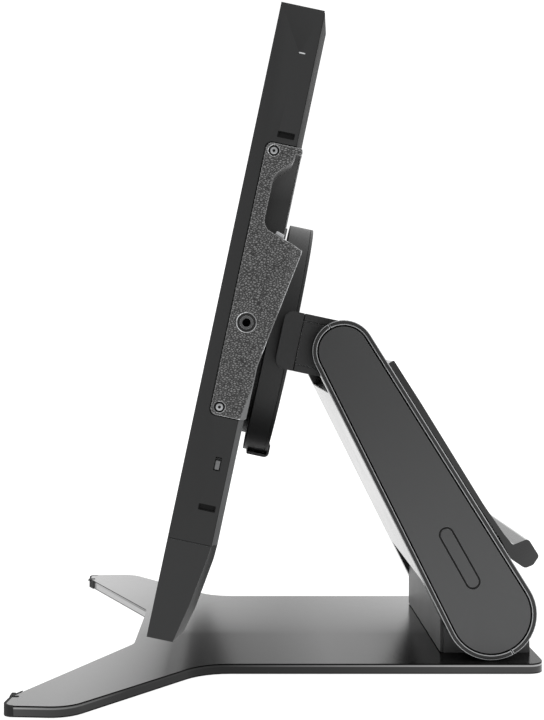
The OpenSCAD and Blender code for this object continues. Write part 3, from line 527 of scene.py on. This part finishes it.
# Edge width in metres, segments and edge material, which paints a highlight or shade along the rounded edge: the
# usual ones, and the nodes that differ
USUAL_EDGE = (0.0004, 3, None)
EDGES = {
    "base_plate": (0.0008, 3, None),
    "mid_frame": (0.0005, 2, GROOVE_SHADE),
    "arm_side_covers": (0.0004, 2, EDGE_HIGHLIGHT_DIM),
    "arm_front_shell": (0.0006, 2, EDGE_HIGHLIGHT),
    "arm_rear_shell": (0.0006, 2, EDGE_HIGHLIGHT),
    "lower_cover": (0.0005, 2, EDGE_HIGHLIGHT_DIM),
    "rotation_lock": (0.0005, 2, EDGE_HIGHLIGHT),
    "accessory_inserts": (0.0003, 2, EDGE_HIGHLIGHT),
    "grip_screws": (0.00025, 2, EDGE_HIGHLIGHT),
    "side_sockets": (0.0003, 2, GROOVE_SHADE),
    "neck_side_covers": (0.0006, 2, EDGE_HIGHLIGHT_BRIGHT),
    "brake_lever": (0.0008, 3, None),
    "pedestal": (0.0005, 2, EDGE_HIGHLIGHT_DIM),
}


def finish_cad_nodes():
    for row in frame["record"]["subparts"]:
        bevel, segments, edge = EDGES.get(row["node"], USUAL_EDGE)
        finish_node(row["node"], row["material_slot"], bevel, segments, edge)


# Depths in metres by which faces are told apart
NEAR = 0.0001
LINE_DEPTH = 0.0008
PLATE_STEP = 0.0005
GROOVE_MARGIN = 0.0002
RING_DEPTH = 0.00005
CHAMFER_BAND = 0.0082


def paint_faces(node, picked, paint=GROOVE_SHADE):
    """Gives a paint, usually the painted groove shade, to the polygons of a CAD node that picked accepts."""
    mesh = NODES[node].data
    mesh.materials.append(paint)
    for polygon in mesh.polygons:
        if picked(polygon):
            polygon.material_index = len(mesh.materials) - 1


def reach_of(node):
    """How near to the middle plane a CAD node comes, and how far out from it."""
    reach = [abs(vertex.co.x) for vertex in NODES[node].data.vertices]
    return min(reach), max(reach)


def sideways(polygon):
    return abs(polygon.normal.x) > 0.9


def edgewise(polygon):
    return abs(polygon.normal.x) < 0.3


def out_from_middle(polygon):
    return abs(polygon.center.x)


def shade_arm_grooves():
    """Paints shade into the line cut into each arm cover and the groove around the cover, and darkens the shells'
    side rims.
    """
    floor, face = reach_of("arm_side_covers")
    line_floor = face - LINE_DEPTH
    paint_faces("arm_side_covers", lambda p: edgewise(p) or abs(out_from_middle(p) - line_floor) < NEAR)
    paint_faces("arm_plates", lambda p: sideways(p) and out_from_middle(p) > floor - PLATE_STEP)
    for node in ("arm_front_shell", "arm_rear_shell"):
        out = [abs(vertex.co.x) for vertex in NODES[node].data.vertices]
        paint_faces(node, lambda p: edgewise(p) and min(out[i] for i in p.vertices) > floor - NEAR)
        paint_faces(node, lambda p: sideways(p) and out_from_middle(p) > floor, RIM)


def coat_chamfers():
    """Gives the rear cover's side chamfers their own coat, lighter downwards by painted light."""
    inner = reach_of("rear_cover")[1] - CHAMFER_BAND
    paint_faces("rear_cover", lambda p: 0.3 < abs(p.normal.x) < 0.95 and out_from_middle(p) > inner, CHAMFER)


def shade_neck_seams():
    """Paints shade into the seams around the neck's side covers and the groove behind them."""
    floor, face = reach_of("neck_side_covers")
    paint_faces("neck_side_covers", edgewise)
    paint_faces("neck_shell", lambda p: out_from_middle(p) > floor and edgewise(p)
                or floor + GROOVE_MARGIN < out_from_middle(p) < face - GROOVE_MARGIN)


def shade_small_part_hollows():
    """Paints shade into the screws and threaded inserts of the side but for their rings."""
    for node, ring in (("grip_screws", None), ("accessory_inserts", INSERT_RING)):
        ring_floor = reach_of(node)[1] - RING_DEPTH
        paint_faces(node, lambda p: out_from_middle(p) < ring_floor)
        if ring:
            paint_faces(node, lambda p: out_from_middle(p) >= ring_floor, ring)


# ---------------------------------------------------------------- the display's own axes

# How far the rotation joint's place lies behind the screen's front, in millimetres
PIVOT_DEPTH = 50


def display_frame():
    """Matrix of the display: x across, y back from the screen's front, z up from the middle."""
    turn = JOINTS["screen_rotation"]
    back = Vector(turn["axis"])
    across = Vector((1, 0, 0))
    up = across.cross(back)
    origin = Vector(turn["pos_m"]) - back * PIVOT_DEPTH * MM
    return Matrix((
        (across.x, back.x, up.x, origin.x),
        (across.y, back.y, up.y, origin.y),
        (across.z, back.z, up.z, origin.z),
        (0, 0, 0, 1),
    ))


DISPLAY = display_frame()
TO_DISPLAY = DISPLAY.inverted()


def display_spots(node):
    """A CAD node's vertices in the display's own axes, in millimetres."""
    return [TO_DISPLAY @ vertex.co / MM for vertex in NODES[node].data.vertices]


def display_box(node):
    """Low and high corners of a CAD node in the display's own axes, in millimetres."""
    spots = display_spots(node)
    return tuple(Vector([edge(spot[i] for spot in spots) for i in range(3)]) for edge in (min, max))


def add_piece(name, form, slot, body, place=None, bevel=0.0, segments=3):
    """Makes an object from a bmesh in millimetres, rides it on a body and gives it its material."""
    mesh = bpy.data.meshes.new(name)
    bmesh.ops.recalc_face_normals(form, faces=form.faces)
    form.transform(Matrix.Scale(MM, 4))
    if place is not None:
        form.transform(place)
    form.to_mesh(mesh)
    form.free()
    piece = bpy.data.objects.new(name, mesh)
    bpy.context.scene.collection.objects.link(piece)
    mesh.materials.append(MATERIALS[slot])
    soften(piece, bevel, segments)
    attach(piece, body)
    return piece


def slab(form, outline, y0, y1):
    """Adds a plate of an (x, z) outline between two depths to a bmesh."""
    near = [form.verts.new((x, y0, z)) for x, z in outline]
    far = [form.verts.new((x, y1, z)) for x, z in outline]
    form.faces.new(near)
    form.faces.new(reversed(far))
    for i in range(len(outline)):
        k = (i + 1) % len(outline)
        form.faces.new((near[i], far[i], far[k], near[k]))


def round_rectangle(x, z, r, n=6):
    """Corner points of a centred rectangle of half sizes x and z with rounded corners."""
    points = []
    for sx, sz, start in ((1, 1, 0), (-1, 1, 90), (-1, -1, 180), (1, -1, 270)):
        for i in range(n + 1):
            a = math.radians(start + 90 * i / n)
            points.append((sx * (x - r) + r * math.cos(a), sz * (z - r) + r * math.sin(a)))
    return points


def screw_middles():
    """Depth and height of the middles of the upper and the lower grip screws."""
    spots = display_spots("grip_screws")
    middles = []
    for upper in (True, False):
        screw = [spot for spot in spots if (spot.z > 0) == upper]
        middles.append([(min(s[i] for s in screw) + max(s[i] for s in screw)) / 2 for i in (1, 2)])
    return middles


GRIP_LOW, GRIP_HIGH = display_box("grip_right")
SCREWS = screw_middles()
# The grip's paints: pebble skin, painted shade, smooth rubber and two painted highlights
GRIP_PAINTS = [MATERIALS["grip_skin"], GROOVE_SHADE, SMOOTH_RUBBER, EDGE_HIGHLIGHT, EDGE_HIGHLIGHT_BRIGHT]
SKIN, DARK, SMOOTH_STRIP, EDGE, BRIGHT_EDGE = range(len(GRIP_PAINTS))

# Places on the grip in millimetres: in from its outer face, back from its front, and down from its top
COUNTERBORE_R = 3.3
COUNTERBORE_RIM = 0.4
EDGE_BAND = 1.5
RECESS_EDGE_BAND = 8
STRIP_BAND = 19
SEAM_DEPTH = 1.4
REAR_DEPTH = 24.4
RECESS_DEPTH = 27.4
STRIP_TOP = 122.5


# Size in metres of the voxels that the moulding is made from
GRIP_VOXEL = 0.00055


def grip_paint(spot, facing):
    """Number of the paint at a spot of the grip, facing a direction, both in the display's own axes."""
    inset = GRIP_HIGH.x - abs(spot.x)
    depth = spot.y - GRIP_LOW.y
    low_down = GRIP_HIGH.z - spot.z > STRIP_TOP
    aside = abs(facing.x)
    from_screw = min(math.hypot(spot.y - y, spot.z - z) for y, z in SCREWS)
    # Counterbores and seam faces at the front: painted shade. Outline and recess edges: painted highlights
    if from_screw < COUNTERBORE_R and inset > COUNTERBORE_RIM:
        return DARK
    if facing.y > 0.25 and aside > 0.2 and inset < STRIP_BAND and low_down:
        return SMOOTH_STRIP
    if 0.3 < aside < 0.97 and inset < EDGE_BAND and (depth < REAR_DEPTH or low_down):
        if facing.y > 0.1:
            return BRIGHT_EDGE
        return DARK if facing.y < -0.3 and depth < SEAM_DEPTH else EDGE
    if 0.1 < aside < 0.6 and facing.y > 0.6 and inset < RECESS_EDGE_BAND and depth > RECESS_DEPTH:
        return EDGE
    return SKIN


def moulded_grip(side):
    """The grip as one soft rubber moulding, with rounded edges all over."""
    node = "grip_" + side
    source = NODES[node]
    draft = bpy.data.objects.new("draft", source.data.copy())
    bpy.context.scene.collection.objects.link(draft)
    draft.modifiers.new("weld", "WELD").merge_threshold = WELD_GAP
    skin = draft.modifiers.new("skin", "REMESH")
    skin.mode = "VOXEL"
    skin.voxel_size = GRIP_VOXEL
    relax = draft.modifiers.new("relax", "SMOOTH")
    relax.factor = 0.5
    relax.iterations = 4
    mesh = bpy.data.meshes.new_from_object(draft.evaluated_get(bpy.context.evaluated_depsgraph_get()))
    bpy.data.objects.remove(draft)
    low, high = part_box(node)
    for vertex in mesh.vertices:
        vertex.co = [min(max(vertex.co[i], low[i]), high[i]) for i in range(3)]
    mesh.materials.clear()
    for paint in GRIP_PAINTS:
        mesh.materials.append(paint)
    turn = TO_DISPLAY.to_3x3()
    for polygon in mesh.polygons:
        polygon.material_index = grip_paint(TO_DISPLAY @ polygon.center / MM, turn @ polygon.normal)
        polygon.use_smooth = True
    piece = bpy.data.objects.new("soft_grip_" + side, mesh)
    bpy.context.scene.collection.objects.link(piece)
    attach(piece, "display")
    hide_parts(node)


def raise_patch(form, outline, z0, z1):
    """Adds a patch with sides and a top, open below, to a bmesh."""
    low = [form.verts.new((x, y, z0)) for x, y in outline]
    high = [form.verts.new((x, y, z1)) for x, y in outline]
    form.faces.new(high)
    for i in range(len(outline)):
        k = (i + 1) % len(outline)
        form.faces.new((low[i], low[k], high[k], high[i]))


# Middle, width and depth of each end of a tip's rubber strip, on the right-hand leg, in millimetres
STRIP_ENDS = (((207, -190), 9, 3), ((211, -187.6), 2.2, 5))


def tip_notches():
    """The ends of the leg tips' rubber strips, turned over onto the top of the plate."""
    top = PLATE_HIGH[2] / MM
    form = bmesh.new()
    for side in (1, -1):
        for (x, y), wide, deep in STRIP_ENDS:
            outline = [(side * x + px, y + py) for px, py in round_rectangle(wide / 2, deep / 2, 0.8)]
            raise_patch(form, outline, top - 0.3, top + 0.35)
    add_piece("tip_notches", form, "foot_rubber", "base", None, 0.0002, 2)


# The panel's dark rim in millimetres, at its sides and at its top and bottom
PANEL_RIM = (6.5, 8)

# The catch in a finger recess: its size (mm) and lean (degrees), and how far its middle lies in from the
# recess's outer side, forward of its back and down from its top
TAB_SIZE = (9, 5.2, 2.4)
TAB_LEAN = -17
TAB_IN = 9.8
TAB_FORWARD = 2
TAB_DOWN = 48.5


def screen_area():
    """The lit area of the panel, seen as a smoother dark field inside the glass border."""
    panel = display_box("lcd_panel")[1]
    front = display_box("cover_glass")[0].y
    form = bmesh.new()
    outline = round_rectangle(panel.x - PANEL_RIM[0], panel.z - PANEL_RIM[1], 1)
    slab(form, outline, front - 0.07, front + 0.01)
    add_piece("screen_area", form, "panel", "display", DISPLAY)


def recess_tabs():
    """The small satin catch at the lower end of each finger recess."""
    recess = display_box("recess_liners")[1]
    lean = Matrix.Rotation(math.radians(TAB_LEAN), 3, "X")
    form = bmesh.new()
    for side in (1, -1):
        middle = (side * (recess.x - TAB_IN), recess.y - TAB_FORWARD, recess.z - TAB_DOWN)
        box = bmesh.ops.create_cube(form, size=1)["verts"]
        bmesh.ops.scale(form, vec=TAB_SIZE, verts=box)
        bmesh.ops.rotate(form, cent=(0, 0, 0), matrix=lean, verts=box)
        bmesh.ops.translate(form, vec=middle, verts=box)
    add_piece("recess_tabs", form, "light", "display", DISPLAY, 0.0006, 3)


make_world()
make_stage()
make_camera()
finish_cad_nodes()
shade_arm_grooves()
shade_neck_seams()
coat_chamfers()
shade_small_part_hollows()
moulded_grip("right")
moulded_grip("left")
screen_area()
recess_tabs()
tip_notches()
